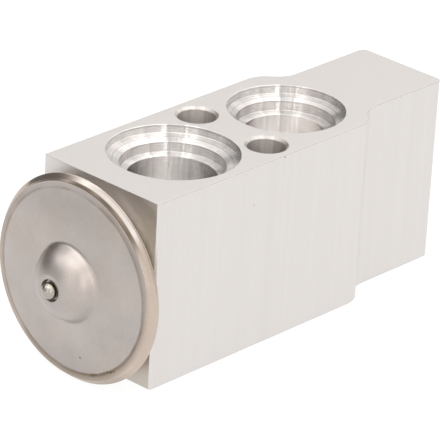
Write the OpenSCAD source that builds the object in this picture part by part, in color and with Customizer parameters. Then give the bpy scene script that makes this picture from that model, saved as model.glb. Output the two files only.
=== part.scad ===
// Block expansion valve: a machined aluminium block with a sensing head on its front end,
// two stepped ports on each port face and an adjusting screw in its narrow neck.
// Millimetres. +Z runs along the ports, X along the rod, and the head faces -X.
// The origin is midway between the two fixing holes, on the lower port face.

/* [Block] */
// Distance between the two port faces
body_h = 34; // [33.5:0.1:36]
// Width of the front part
body_w = 26.5; // [26:0.1:30]
// Width of the neck
neck_w = 18.6; // [18:0.1:19.5]
// From the fixing holes to the front end
front_reach = 31.5; // [31:0.1:34]
// From the fixing holes to the neck end
end_reach = 44.7; // [43:0.1:48]
// From the fixing holes to the middle of the shoulder
shoulder_x = 22.5; // [22:0.1:24]
// Radius of the two bends of each shoulder
shoulder_r = 5.1; // [3:0.1:5.4]
// Radius of the upright edges at the neck end
end_corner_r = 1.3; // [0.5:0.1:2]
// Radius of the upright edges at the front end
front_corner_r = 0.7; // [0.3:0.1:1.5]
// Height of the rod axis above the lower port face
axis_h = 17.1; // [16.8:0.1:17.5]

/* [Fixing holes] */
// Radius of the two fixing holes
hole_r = 3.35; // [3:0.05:3.4]
// Distance between the two fixing holes
hole_spacing = 16.2; // [16:0.1:16.8]
// Width of the countersink round each fixing hole
hole_sink = 0.45; // [0.2:0.05:0.6]

/* [Suction ports] */
// From the fixing holes to the suction ports
suction_x = 14.3; // [14.2:0.1:15]
// Radius of a suction port's mouth
suction_mouth_r = 11.4; // [11:0.1:11.8]
// Radius of a suction port's sealing wall
suction_seal_r = 9.05; // [8.7:0.05:9.3]
// Width of the tapered lead into a suction port's sealing wall
suction_lead = 1.25; // [1:0.05:1.4]
// Radius of the suction passage
suction_bore_r = 7.7; // [7:0.1:8]

/* [Liquid inlet port] */
// From the fixing holes to the liquid inlet
inlet_x = 13.9; // [13.8:0.1:15]
// Radius of the liquid inlet's mouth
inlet_mouth_r = 10.3; // [9.8:0.1:10.6]
// Radius of the liquid inlet's sealing wall
inlet_seal_r = 8.6; // [8.2:0.05:8.8]
// Width of the tapered lead into the liquid inlet's sealing wall
inlet_lead = 0.85; // [0.5:0.05:0.95]
// Radius of the liquid inlet's bore
inlet_bore_r = 7.15; // [6.5:0.05:7.5]
// Depth of the liquid inlet's bore
inlet_depth = 9.2; // [8.5:0.1:9.5]
// Radius of the drilled way from the liquid inlet to the spring chamber
inlet_way_r = 2.8; // [2:0.1:3]

/* [Liquid outlet port] */
// From the fixing holes to the liquid outlet
outlet_x = 10.5; // [10.3:0.1:11]
// Radius of the liquid outlet's mouth
outlet_mouth_r = 8.6; // [8.4:0.1:8.8]
// Radius of the liquid outlet's sealing wall
outlet_seal_r = 7.1; // [6.9:0.05:7.3]
// Width of the tapered lead into the liquid outlet's sealing wall
outlet_lead = 0.6; // [0.4:0.05:0.8]
// Radius of the liquid outlet's bore
outlet_bore_r = 5.7; // [5.5:0.1:6]
// Depth of the liquid outlet's bore
outlet_depth = 9; // [8:0.1:9.5]
// Radius of the drilled way from the outlet chamber to the liquid outlet
outlet_way_r = 2; // [1.5:0.1:2.1]

/* [Port steps] */
// Depth of a port's mouth
mouth_depth = 1.6; // [1.4:0.05:1.8]
// Drop of the ledge below the mouth
ledge_drop = 0.15; // [0.1:0.05:0.3]
// Height of the tapered lead
lead_h = 0.45; // [0.4:0.05:0.7]
// Height of the sealing wall
seal_h = 1.85; // [1.6:0.05:2]
// Drop of the step from the sealing wall to the bore
bore_drop = 0.2; // [0.15:0.05:0.5]

/* [Sensing head] */
// Outer radius of the head's rolled rim
head_r = 18.34; // [16.5:0.02:20]
// Thickness of the cup's sheet
cup_t = 0.65; // [0.6:0.05:0.8]
// Thickness of the cover's sheet
cover_t = 0.75; // [0.7:0.05:0.9]
// Thickness of the lip rolled over the cover
lip_t = 0.8; // [0.7:0.05:0.9]
// Width of the rolled lip, from the head's outside to the lip's edge on the cover
lip_w = 2.1; // [1.9:0.02:2.3]
// Drop of the lip from its edge to the rim's bead
lip_drop = 0.6; // [0.4:0.05:0.7]
// Width of each of the two slopes of the rim's bead
bead_slope_w = 0.84; // [0.7:0.02:0.9]
// Thickness of the diaphragm
diaphragm_t = 0.2; // [0.15:0.05:0.3]
// Gap between the block and the back of the rim
rim_gap = 3.5; // [3.4:0.05:3.7]
// Radius of the cup's flat floor
cup_floor_r = 11.9; // [11.5:0.1:12.2]
// Radius of the cup's threaded neck
cup_neck_r = 9; // [8.5:0.1:9.3]
// Bore radius of the cup's neck
cup_neck_bore_r = 6.3; // [6:0.1:6.5]
// Length of the cup's neck inside the block
cup_neck_len = 8; // [7:0.1:8]
// Thickness of the gasket under the cup
gasket_t = 1; // [0.8:0.05:1.1]
// Width of the gasket
gasket_w = 2.7; // [2:0.1:2.8]

/* [Cover's boss] */
// Rise of the cover from the lip to the foot of the boss
face_rise = 1.1; // [0.8:0.1:1.4]
// Radius of the foot of the boss
boss_foot_r = 6.95; // [6.8:0.05:7.2]
// Height of the boss above its foot
boss_h = 4.2; // [4:0.1:4.5]
// Radius of the corner between the boss's steep side and its top slope
boss_bulge_r = 5.2; // [5:0.05:5.4]
// Height of that corner above the foot
boss_bulge_h = 3.1; // [2.9:0.05:3.3]
// Radius of the top of the boss
boss_top_r = 2.65; // [2.5:0.05:3]
// Radius of the plug ball's seat
plug_seat_r = 1.9; // [1.8:0.05:2]
// Depth of the plug ball's seat
plug_seat_d = 1.2; // [0.9:0.05:1.3]
// Thickness of the boss under its top
boss_wall = 2.3; // [2:0.1:2.6]
// Radius of the plug ball
plug_r = 1.45; // [1.3:0.05:1.5]
// Radius of the charging hole under the plug ball
charge_hole_r = 1; // [0.8:0.05:1.1]

/* [Rod and its seal] */
// Radius of the sensing rod
rod_r = 2.8; // [2.5:0.05:2.85]
// Radius of the diaphragm pad
pad_r = 11.4; // [10.8:0.1:11.5]
// Thickness of the diaphragm pad
pad_t = 0.9; // [0.7:0.05:0.95]
// Radius of the pad's boss
pad_boss_r = 4.2; // [3.8:0.1:4.6]
// Length of the pad's boss
pad_boss_len = 5.4; // [4.5:0.1:6]
// Depth of the rod's socket in the pad
pad_socket_d = 3; // [2:0.1:3.5]
// Thickness of the rod's seal ring
rod_seal_t = 1.46; // [1.3:0.02:1.46]
// Depth of the seal's pocket in the wall of the passage
seal_pocket_d = 4.4; // [4:0.1:4.6]
// Length of the rod's guide behind the seal
rod_guide_len = 2; // [1.5:0.1:2.5]
// Thickness of the ring that holds the seal
retainer_t = 0.5; // [0.4:0.05:0.7]
// Number of notches in the ring that holds the seal
retainer_notches = 6; // [4:1:8]
// Radius of the push pin
pin_r = 1.2; // [1:0.05:1.3]

/* [Valve and spring] */
// From the fixing holes to the valve seat's face
seat_x = 12.4; // [12.2:0.1:13]
// Length of the seat insert
seat_len = 3; // [2.5:0.1:3]
// Radius of the seat insert
seat_r = 4; // [3.6:0.1:4.2]
// Radius of the orifice
orifice_r = 1.7; // [1.6:0.05:1.8]
// Length of the outlet chamber
chamber_len = 5.4; // [5.2:0.1:5.8]
// Radius of the outlet chamber
chamber_r = 3.6; // [3:0.1:3.8]
// Radius of the valve ball
ball_r = 2.5; // [2.4:0.05:2.7]
// Travel of the valve from closed to fully open
stroke = 0.8; // [0.5:0.05:0.85]
// Radius of the spring chamber
spring_room_r = 5.6; // [5.5:0.05:5.7]
// Mean radius of the spring
spring_r = 4.1; // [4:0.05:4.2]
// Radius of the spring's wire
wire_r = 0.55; // [0.45:0.05:0.6]
// Number of turns of the spring
spring_turns = 8; // [6:1:10]

/* [Adjusting screw] */
// Radius of the adjusting screw
screw_r = 6.95; // [6.8:0.05:7.1]
// Length of the adjusting screw
screw_len = 10; // [9.5:0.1:11]
// Depth of the screw's face below the neck end
screw_recess = 1.5; // [1.2:0.1:2]
// Width across the flats of the screw's socket
socket_af = 5; // [4:0.5:6]
// Depth of the screw's socket
socket_depth = 5; // [4:0.1:5.5]
// Depth of the spring's seat in the screw
spring_seat_d = 2; // [1.5:0.1:2.4]
// Pitch of the screw's thread
thread_pitch = 1; // [0.75:0.25:1.25]
// Thickness of the screw's seal ring
screw_seal_t = 1.32; // [1.2:0.02:1.36]
// Depth of the seal's groove in the screw
groove_depth = 1.35; // [1.3:0.05:1.5]

/* [Hidden] */
$fn = 96;

// Gaps: a fixed joint between two pieces, a running fit, and a cut that runs past a face
fit_gap = 0.03;
run_gap = 0.05;
past = 1;

// Stations along the rod axis
front_x = -front_reach;
passage_x = -suction_x;
passage_wall_x = passage_x + suction_bore_r;
pocket_end_x = passage_wall_x + seal_pocket_d;
guide_end_x = pocket_end_x + rod_guide_len;
chamber_x = seat_x - seat_len - chamber_len;
screw_face_x = end_reach - screw_recess;
screw_inner_x = screw_face_x - screw_len;
thread_end_x = screw_inner_x - thread_pitch - run_gap * 10;

// Steps of a port, measured down from its face
ledge_depth = mouth_depth + ledge_drop;
lead_depth = ledge_depth + lead_h;
seal_depth = lead_depth + seal_h;
bore_depth = seal_depth + bore_drop;

// Levels of the head, measured outwards from the block's front end
cup_floor_u = gasket_t;
flange_top_u = rim_gap + cup_t;
clamp_u = flange_top_u + diaphragm_t;
cover_edge_u = clamp_u + cover_t;
lip_top_u = cover_edge_u + lip_t;
lip_in_r = head_r - lip_w;
bead_top_u = lip_top_u - lip_drop;
bead_mid_u = (rim_gap + bead_top_u) / 2;
bead_in_r = head_r - bead_slope_w;
bead_side_h = 0.25;
bead_side_r = 0.25;
bead_back_r = 0.6;
clamp_r = bead_in_r - 0.5;
boss_foot_u = lip_top_u + face_rise;
boss_top_u = boss_foot_u + boss_h;
plug_floor_u = boss_top_u - plug_seat_d;
plug_mid_u = plug_floor_u + sqrt(plug_r * plug_r - charge_hole_r * charge_hole_r) + fit_gap;
pad_top_u = flange_top_u - run_gap;
pad_bottom_u = pad_top_u - pad_t;
pad_end_u = pad_bottom_u - pad_boss_len;

// The valve: the ball rests on the 45 degree cone of the seat
seat_cone_r = orifice_r + 0.7;
ball_contact = ball_r * sin(45);
ball_x = seat_x - (seat_cone_r - ball_contact) + ball_contact + run_gap;
holder_nose_x = ball_x + ball_r * 0.32;
holder_cone_tip_x = ball_x + 2 * ball_contact + run_gap;
holder_nose_r = ball_r * 1.36;
holder_flange_x = holder_nose_x + 2.2;
holder_flange_t = 1.5;
holder_flange_r = spring_room_r - 0.6;
holder_pilot_r = spring_r - wire_r - 0.35;
holder_pilot_len = 2.5;
spring_start_x = holder_flange_x + holder_flange_t;
spring_end_x = screw_inner_x + spring_seat_d;

// Colours
aluminium = [0.86, 0.85, 0.83];
stainless = [0.72, 0.69, 0.66];
polished = [0.8, 0.78, 0.74];
rubber = [0.1, 0.1, 0.11];
brass = [0.78, 0.65, 0.38];
spring_steel = [0.55, 0.55, 0.57];

function unit(v) = v / norm(v);
function half_angle(a, b, c) = acos(unit(a - b) * unit(c - b)) / 2;
function arc_centre(a, b, c, r) = b + unit(unit(a - b) + unit(c - b)) * r / sin(half_angle(a, b, c));
function arc_foot(a, b, c, r) = b + unit(a - b) * r / tan(half_angle(a, b, c));

// What is cut off a corner that points out: the sliver between the corner b of the path a-b-c
// and an arc of radius r. It runs a little past the corner.
module rounding(a, b, c, r) {
    middle = arc_centre(a, b, c, r);
    beyond = b + (b - middle) * 0.1;
    difference() {
        polygon([arc_foot(a, b, c, r), beyond, arc_foot(c, b, a, r), middle]);
        translate(middle) circle(r = r);
    }
}

// A corner that points in is drawn through the middle of its arc, and the arc is cut from that
function filled(a, b, c, r) = [arc_foot(a, b, c, r), arc_centre(a, b, c, r), arc_foot(c, b, a, r)];
function mirrored(path) = [for (i = [len(path) - 1 : -1 : 0]) [path[i].x, -path[i].y]];

// A profile of radius and distance, turned about the rod axis: along +X, or outwards along the head
module turned_on_rod() {
    translate([0, 0, axis_h]) rotate([0, 90, 0]) rotate_extrude() children();
}

module turned_on_head() {
    translate([front_x, 0, axis_h]) rotate([0, -90, 0]) rotate_extrude() children();
}

module rod_bore(x0, x1, r) {
    translate([x0, 0, axis_h]) rotate([0, 90, 0]) cylinder(h = x1 - x0, r = r);
}

// A round seal ring between an inner and an outer wall
module seal_ring(x, mean_r, thickness) {
    turned_on_rod() translate([mean_r, x]) circle(r = thickness / 2);
}

// Outline of the block seen along the ports
module block_outline() {
    wide = body_w / 2;
    narrow = neck_w / 2;
    slope = (wide - narrow) / 2;
    front = [front_x, wide];
    bend_out = [shoulder_x - slope, wide];
    bend_in = [shoulder_x + slope, narrow];
    end = [end_reach, narrow];
    half = concat([front, bend_out], filled(bend_out, bend_in, end, shoulder_r), [end]);
    difference() {
        polygon(concat(half, mirrored(half)));
        for (side = [0, 1]) mirror([0, side]) {
            translate(arc_centre(bend_out, bend_in, end, shoulder_r)) circle(r = shoulder_r);
            rounding([front_x, 0], front, bend_out, front_corner_r);
            rounding(front, bend_out, bend_in, shoulder_r);
            rounding(bend_in, end, [end_reach, 0], end_corner_r);
        }
    }
}

// The steps of a port whose face is at z = 0, going down
function port_steps(mouth_r, seal_r, lead, bore_r) =
    [[mouth_r, past], [mouth_r, -mouth_depth], [seal_r + lead, -ledge_depth], [seal_r, -lead_depth],
     [seal_r, -seal_depth], [bore_r, -bore_depth]];

module blind_port(mouth_r, seal_r, lead, bore_r, depth) {
    steps = port_steps(mouth_r, seal_r, lead, bore_r);
    rotate_extrude() polygon(concat([[0, past]], steps, [[bore_r, -depth], [0, -depth]]));
}

// The suction passage goes right through and has the same port at each end
module suction_passage() {
    steps = port_steps(suction_mouth_r, suction_seal_r, suction_lead, suction_bore_r);
    far_steps = [for (i = [len(steps) - 1 : -1 : 0]) [steps[i].x, -body_h - steps[i].y]];
    rotate_extrude() polygon(concat([[0, past]], steps, far_steps, [[0, -body_h - past]]));
}

module inlet_port() {
    blind_port(inlet_mouth_r, inlet_seal_r, inlet_lead, inlet_bore_r, inlet_depth);
}

module outlet_port() {
    blind_port(outlet_mouth_r, outlet_seal_r, outlet_lead, outlet_bore_r, outlet_depth);
}

module fixing_hole() {
    sink_r = hole_r + hole_sink;
    rotate_extrude()
        polygon([[0, -past], [sink_r + past, -past], [hole_r, hole_sink], [hole_r, body_h - hole_sink],
                 [sink_r + past, body_h + past], [0, body_h + past]]);
}

// All bores on the rod axis, from the head's pocket to the adjusting screw's thread
module rod_bores() {
    pocket_x = front_x + cup_neck_len + run_gap * 10;
    rod_bore(front_x - past, pocket_x, cup_neck_r + fit_gap);
    rod_bore(pocket_x - past, passage_x, cup_neck_bore_r - 0.3);
    rod_bore(passage_x, pocket_end_x, rod_seal_outer_r() + fit_gap * 2);
    rod_bore(pocket_end_x - past, guide_end_x, rod_r + run_gap);
    rod_bore(guide_end_x - past, chamber_x + past, pin_r + run_gap);
    rod_bore(chamber_x, seat_x - seat_len + past, chamber_r);
    rod_bore(seat_x - seat_len, seat_x + past, seat_r + fit_gap);
    rod_bore(seat_x, thread_end_x + past, spring_room_r);
    rod_bore(thread_end_x, end_reach + past, screw_r + run_gap);
}

function rod_seal_outer_r() = rod_r + run_gap + rod_seal_t;
function rod_seal_mean_r() = rod_r + run_gap + rod_seal_t / 2;

module valve_body() {
    color(aluminium)
    difference() {
        linear_extrude(body_h) block_outline();
        translate([passage_x, 0, body_h]) suction_passage();
        translate([inlet_x, 0, body_h]) inlet_port();
        translate([outlet_x, 0, 0]) mirror([0, 0, 1]) outlet_port();
        for (side = [-1, 1]) translate([0, side * hole_spacing / 2, 0]) fixing_hole();
        translate([seat_x + inlet_way_r + 2, 0, axis_h])
            cylinder(h = body_h - inlet_depth - axis_h + past, r = inlet_way_r);
        translate([chamber_x + chamber_len - outlet_way_r - 0.4, 0, outlet_depth - past])
            cylinder(h = axis_h - outlet_depth + past, r = outlet_way_r);
        rod_bores();
    }
}

// The lower cup of the head: a dished sheet with a threaded neck, and a rim whose bead is rolled
// over the cover
module cup_profile() {
    dish_foot_r = cup_floor_r + cup_t * 0.5;
    dish_top_r = dish_foot_r + (flange_top_u - cup_floor_u - cup_t) * 0.5;
    flange = [dish_top_r, rim_gap];
    back = [bead_in_r, rim_gap];
    low = [head_r, bead_mid_u - bead_side_h / 2];
    high = [head_r, bead_mid_u + bead_side_h / 2];
    front = [bead_in_r, bead_top_u];
    lip = [lip_in_r, lip_top_u];
    difference() {
        polygon([[cup_neck_bore_r, -cup_neck_len], [cup_neck_r, -cup_neck_len],
                 [cup_neck_r, cup_floor_u], [dish_foot_r, cup_floor_u], flange, back, low, high, front,
                 lip, [lip_in_r, cover_edge_u], [clamp_r, cover_edge_u], [clamp_r, flange_top_u],
                 [dish_top_r, flange_top_u], [cup_floor_r, cup_floor_u + cup_t],
                 [cup_neck_bore_r, cup_floor_u + cup_t]]);
        rounding(flange, back, low, bead_back_r);
        rounding(back, low, high, bead_side_r);
        rounding(low, high, front, bead_side_r);
    }
}

module element_base() {
    color(stainless) turned_on_head() cup_profile();
}

// The pressed cover: a clamped edge, a joggle up to a shallow cone flush with the lip, and a boss
// that bulges up to the plug ball's seat at its top
module cover_profile() {
    face_r = lip_in_r - 0.1;
    joggle_r = lip_in_r - cover_t;
    foot = [boss_foot_r, boss_foot_u];
    bulge = [boss_bulge_r, boss_foot_u + boss_bulge_h];
    top = [boss_top_r, boss_top_u];
    centre = [0, boss_top_u];
    face = [face_r, lip_top_u];
    foot_r = 0.9;
    bulge_bend_r = 6.4;
    top_r = 1.4;
    difference() {
        polygon(concat([[clamp_r - fit_gap, clamp_u], [clamp_r - fit_gap, cover_edge_u],
                        [face_r, cover_edge_u], face], filled(face, foot, bulge, foot_r),
                       [bulge, top, centre, [0, boss_top_u - boss_wall],
                        [boss_top_r, boss_top_u - boss_wall], foot - [0.5, cover_t],
                        [joggle_r, lip_top_u - cover_t], [joggle_r, clamp_u]]));
        translate(arc_centre(face, foot, bulge, foot_r)) circle(r = foot_r);
        rounding(foot, bulge, top, bulge_bend_r);
        rounding(bulge, top, centre, top_r);
        translate([0, plug_floor_u]) square([plug_seat_r, plug_seat_d + past]);
        translate([0, boss_foot_u]) square([charge_hole_r, boss_h + past]);
    }
}

module element_cover() {
    color(stainless) turned_on_head() cover_profile();
}

module plug_ball() {
    color(polished) translate([front_x - plug_mid_u, 0, axis_h]) sphere(r = plug_r);
}

// A thin disc with ring waves, clamped at its edge
module diaphragm() {
    waves = 3;
    wave_in_r = pad_r * 0.5;
    wave_out_r = clamp_r - 2.2;
    wave_step = (wave_out_r - wave_in_r) / (2 * waves);
    wave_h = 0.3;
    top = [for (i = [0 : 2 * waves])
           [wave_in_r + i * wave_step, clamp_u + (i % 2 == 0 ? 0 : wave_h)]];
    bottom = [for (i = [2 * waves : -1 : 0]) top[i] - [0, diaphragm_t]];
    edge_r = clamp_r - fit_gap;
    color(spring_steel) turned_on_head()
        polygon(concat([[0, clamp_u]], top, [[edge_r, clamp_u], [edge_r, flange_top_u]], bottom,
                       [[0, flange_top_u]]));
}

module element_gasket() {
    color(rubber) turned_on_head()
        translate([cup_neck_r + fit_gap, 0]) square([gasket_w, gasket_t]);
}

module diaphragm_pad() {
    socket_end_u = pad_end_u + pad_socket_d;
    socket_r = rod_r + fit_gap;
    color(brass) turned_on_head()
        polygon([[0, pad_top_u], [pad_r, pad_top_u], [pad_r, pad_bottom_u], [pad_boss_r, pad_bottom_u],
                 [pad_boss_r, pad_end_u], [socket_r, pad_end_u], [socket_r, socket_end_u],
                 [0, socket_end_u]]);
}

module sensing_rod() {
    start_x = front_x - (pad_end_u + pad_socket_d) + fit_gap;
    color(aluminium) rod_bore(start_x, guide_end_x - stroke - 0.3, rod_r);
}

module push_pin() {
    color(polished)
        rod_bore(guide_end_x - stroke - 0.3 + fit_gap, ball_x - ball_r - fit_gap, pin_r);
}

module rod_seal() {
    color(rubber)
        seal_ring(pocket_end_x - rod_seal_t / 2 - fit_gap, rod_seal_mean_r(), rod_seal_t - fit_gap);
}

// A push-on ring with notches round its inner edge, pressed into the pocket to hold the seal
module seal_retainer() {
    inner_r = rod_r + 0.2;
    notch_w = 0.9;
    x = pocket_end_x - rod_seal_t - 3 * fit_gap - retainer_t;
    color(spring_steel)
    difference() {
        rod_bore(x, x + retainer_t, rod_seal_outer_r() + fit_gap);
        rod_bore(x - past, x + retainer_t + past, inner_r);
        for (i = [0 : retainer_notches - 1])
            translate([x - past, 0, axis_h]) rotate([i * 360 / retainer_notches, 0, 0])
                translate([0, -notch_w / 2, 0]) cube([retainer_t + 2 * past, notch_w, inner_r + 0.7]);
    }
}

module valve_seat() {
    color(brass) turned_on_rod()
        polygon([[orifice_r, seat_x - seat_len], [seat_r, seat_x - seat_len], [seat_r, seat_x],
                 [seat_cone_r, seat_x], [orifice_r, seat_x - (seat_cone_r - orifice_r)]]);
}

module valve_ball() {
    color(polished) translate([ball_x, 0, axis_h]) sphere(r = ball_r);
}

// The ball's holder: a conical cup, a flange that carries the spring, and a pilot inside it
module ball_holder() {
    cone_mouth_r = holder_cone_tip_x - holder_nose_x;
    tip_r = 0.5;
    color(polished) turned_on_rod()
        polygon([[0, holder_cone_tip_x - tip_r], [tip_r, holder_cone_tip_x - tip_r],
                 [cone_mouth_r, holder_nose_x], [holder_nose_r, holder_nose_x],
                 [holder_nose_r, holder_flange_x], [holder_flange_r, holder_flange_x],
                 [holder_flange_r, spring_start_x], [holder_pilot_r, spring_start_x],
                 [holder_pilot_r, spring_start_x + holder_pilot_len],
                 [0, spring_start_x + holder_pilot_len]]);
}

// A sheet ring on the holder's nose with four fingers that rub on the wall of the spring chamber
module damping_ring() {
    fingers = 4;
    finger_w = 1.8;
    sheet_t = 0.35;
    finger_len = 2;
    ring_x = holder_flange_x - sheet_t - fit_gap;
    rub_r = spring_room_r - run_gap;
    color(spring_steel)
    difference() {
        union() {
            rod_bore(ring_x, ring_x + sheet_t, holder_flange_r);
            intersection() {
                rod_bore(ring_x - finger_len, ring_x + sheet_t, rub_r);
                for (i = [0 : fingers - 1])
                    translate([ring_x - finger_len, 0, axis_h]) rotate([i * 360 / fingers + 45, 0, 0])
                        translate([0, -finger_w / 2, 0]) cube([finger_len + sheet_t, finger_w, rub_r]);
            }
        }
        rod_bore(ring_x - finger_len - past, ring_x, rub_r - sheet_t);
        rod_bore(ring_x - past, ring_x + sheet_t + past, holder_nose_r + fit_gap);
    }
}

// The helical spring: its wire's centre line, and a tube swept along it.
// The first and last turns lie closed, and the turns between them share the rest of the length.
spring_sides = 10;
spring_steps = 20;
spring_rings = spring_turns * spring_steps;
spring_free = spring_end_x - spring_start_x - 2 * (wire_r + fit_gap);
closed_pitch = 2 * wire_r + fit_gap;
open_pitch = (spring_free - 2 * closed_pitch) / (spring_turns - 2);
function spring_x(turn) =
    spring_start_x + wire_r + fit_gap
    + closed_pitch * min(turn, 1)
    + open_pitch * max(0, min(turn, spring_turns - 1) - 1)
    + closed_pitch * max(0, turn - spring_turns + 1);
function spring_point(i, side) =
    let (turn = i / spring_steps, a = 360 * turn, b = 360 * side / spring_sides,
         r = spring_r + wire_r * cos(b))
    [spring_x(turn) + wire_r * sin(b), r * cos(a), axis_h + r * sin(a)];

module superheat_spring() {
    points = [for (i = [0 : spring_rings]) for (s = [0 : spring_sides - 1]) spring_point(i, s)];
    sides = [for (i = [0 : spring_rings - 1]) for (s = [0 : spring_sides - 1])
             let (t = (s + 1) % spring_sides, p = i * spring_sides, q = p + spring_sides)
             [p + s, q + s, q + t, p + t]];
    first = [for (s = [0 : spring_sides - 1]) s];
    last = [for (s = [spring_sides - 1 : -1 : 0]) spring_rings * spring_sides + s];
    color(spring_steel) polyhedron(points = points, faces = concat(sides, [first, last]));
}

// The adjusting screw: a plug with a socket outside, a seat for the spring inside and a seal groove
module adjusting_screw() {
    groove_w = screw_seal_t + 0.8;
    groove_x = screw_inner_x + screw_len * 0.5;
    chamfer = 0.5;
    seat_r_in_screw = spring_r + wire_r + 0.3;
    socket_r = socket_af / 2 / cos(30);
    color(brass)
    difference() {
        turned_on_rod()
            polygon([[0, spring_end_x], [seat_r_in_screw, spring_end_x],
                     [seat_r_in_screw, screw_inner_x], [screw_r - chamfer, screw_inner_x],
                     [screw_r, screw_inner_x + chamfer], [screw_r, groove_x],
                     [screw_r - groove_depth, groove_x], [screw_r - groove_depth, groove_x + groove_w],
                     [screw_r, groove_x + groove_w], [screw_r, screw_face_x - chamfer],
                     [screw_r - chamfer, screw_face_x], [0, screw_face_x]]);
        translate([screw_face_x - socket_depth, 0, axis_h]) rotate([0, 90, 0])
            cylinder(h = socket_depth + past, r = socket_r, $fn = 6);
    }
}

module screw_seal() {
    groove_w = screw_seal_t + 0.8;
    mean_r = screw_r - groove_depth + run_gap / 2 + screw_seal_t / 2;
    color(rubber) seal_ring(screw_inner_x + screw_len * 0.5 + groove_w / 2, mean_r, screw_seal_t);
}

valve_body();
element_base();
element_cover();
plug_ball();
diaphragm();
element_gasket();
diaphragm_pad();
sensing_rod();
push_pin();
rod_seal();
seal_retainer();
valve_seat();
valve_ball();
ball_holder();
damping_ring();
superheat_spring();
adjusting_screw();
screw_seal();
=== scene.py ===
import math
from collections import namedtuple

import bmesh
import bpy
from mathutils import Matrix, Vector


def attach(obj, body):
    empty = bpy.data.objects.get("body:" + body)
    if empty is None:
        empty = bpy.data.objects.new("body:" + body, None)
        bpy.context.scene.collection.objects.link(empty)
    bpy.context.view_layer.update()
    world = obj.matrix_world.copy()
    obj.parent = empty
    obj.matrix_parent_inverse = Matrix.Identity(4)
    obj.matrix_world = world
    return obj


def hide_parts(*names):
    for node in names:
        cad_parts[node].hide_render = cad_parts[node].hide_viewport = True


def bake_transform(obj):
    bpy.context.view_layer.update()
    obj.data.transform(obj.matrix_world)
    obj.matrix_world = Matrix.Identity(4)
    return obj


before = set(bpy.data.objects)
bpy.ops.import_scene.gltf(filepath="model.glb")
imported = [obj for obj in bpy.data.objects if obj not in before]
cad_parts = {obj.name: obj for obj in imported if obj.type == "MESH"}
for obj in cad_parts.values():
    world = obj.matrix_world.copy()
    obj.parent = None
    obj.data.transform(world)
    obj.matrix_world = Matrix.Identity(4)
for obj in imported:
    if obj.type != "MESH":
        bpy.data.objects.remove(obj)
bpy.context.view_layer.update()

# Sizes and places, in millimetres as in the CAD. X runs along the rod, away from the sensing head

MM = 0.001

H = 34.0
FRONT, END = -31.5, 44.7
WIDE, NARROW = 13.25, 9.3
SHOULDER_X, SHOULDER_R, NECK_R = 22.5, 5.1, 1.3
NEAR_CHAMFER, FAR_CHAMFER = 0.43, 0.15
BROKEN_EDGE = 0.1
AXIS = 17.1

Port = namedtuple("Port", "x mouth seal lead bore")
SUCTION = Port(x=-14.3, mouth=11.4, seal=9.05, lead=1.25, bore=7.7)
INLET = Port(x=13.9, mouth=10.3, seal=8.6, lead=0.85, bore=7.15)
OUTLET = Port(x=10.5, mouth=8.6, seal=7.1, lead=0.6, bore=5.7)
MOUTH_DEPTH, LEAD_DEPTH, SEAL_START, SEAL_STOP, BORE_START, BORE_STOP = 1.54, 1.82, 2.2, 4.05, 4.25, 6.5
INLET_DEPTH, OUTLET_DEPTH = 9.2, 9.0
HOLE_Y, HOLE_R, HOLE_SINK_R, HOLE_SINK = 8.1, 3.35, 3.8, 0.45

# (x, radius) of the bores on the rod axis, from the head's pocket to the screw's thread
AXIS_BORES = ((-34, 9.03), (-23, 9.03), (-23, 6.0), (-14.3, 6.0), (-14.3, 4.37), (-2.2, 4.37),
              (-2.2, 2.85), (-0.2, 2.85), (-0.2, 1.25), (4.0, 1.25), (4.0, 3.6), (9.4, 3.6),
              (9.4, 4.03), (12.4, 4.03), (12.4, 5.6), (31.7, 5.6), (31.7, 7.0), (44.4, 7.0),
              (45.7, 8.3))
INLET_WAY_X, INLET_WAY_R, INLET_WAY_TOP = 17.2, 2.8, 26.0
OUTLET_WAY_X, OUTLET_WAY_R, OUTLET_WAY_LOW = 7.0, 2.0, 7.0

# Corners of the head's turned pieces: (radius, distance before the block, rounding radius, steps)
COVER = (
    (16.97, 4.36), (16.97, 5.08, 0.1, 2), (16.205, 5.08, 0.05, 2), (16.205, 5.9, 0.01, 2),
    (6.95, 7.0, 1.0, 10), (5.2, 10.1, 6.4, 16), (2.65, 11.2, 1.4, 8), (1.95, 11.2, 0.12, 3),
    (1.85, 10.2, 0.1, 2), (1.0, 10.0, 0.1, 2), (1.0, 8.9), (2.65, 8.9, 0.5, 3),
    (6.4, 6.2, 1.0, 4), (15.5, 5.1, 0.5, 3), (15.5, 4.36))
CUP_OUTSIDE = (
    (6.3, -8), (9.0, -8, 0.4, 3), (9.0, 1.0, 0.1, 2), (13.0, 1.0, 0.25, 4), (14.8, 3.5, 0.4, 5),
    (17.5, 3.5, 0.6, 6), (18.34, 4.27, 0.27, 5), (18.34, 4.53, 0.27, 5), (17.58, 5.22, 0.1, 4),
    (17.4, 5.76, 0.22, 6), (16.21, 5.9, 0.01, 2), (16.21, 5.1))
CUP_INSIDE = (
    (17.0, 5.1), (17.0, 4.15), (14.8, 4.15, 0.3, 2), (12.8, 1.65, 0.3, 3), (6.3, 1.65, 0.2, 2),
    (6.3, -8))
PLUG_R, PLUG_OUT = 1.45, 11.18
SEAM_R = 16.2

SPRING_START, SPRING_END, SPRING_TURNS = 18.1, 35.2, 8
SPRING_R, WIRE_R, SPRING_GAP = 4.1, 0.55, 0.03

FLOOR_Z, FLOOR_HALF = -1.1, 3000.0

# Steps round each turned form
HEAD_STEPS, PLUG_STEPS, CUTTER_STEPS, WAY_STEPS = 180, 64, 96, 64
PORT_STEPS, OUTLET_STEPS, HOLE_STEPS = 144, 128, 72
SPRING_STEPS, WIRE_STEPS = 40, 16

# Edges that turn by more than this many degrees stay sharp
BLOCK_SHARP, HEAD_SHARP, SPRING_SHARP, CAD_SHARP = 25.0, 28.0, 40.0, 35.0

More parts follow.
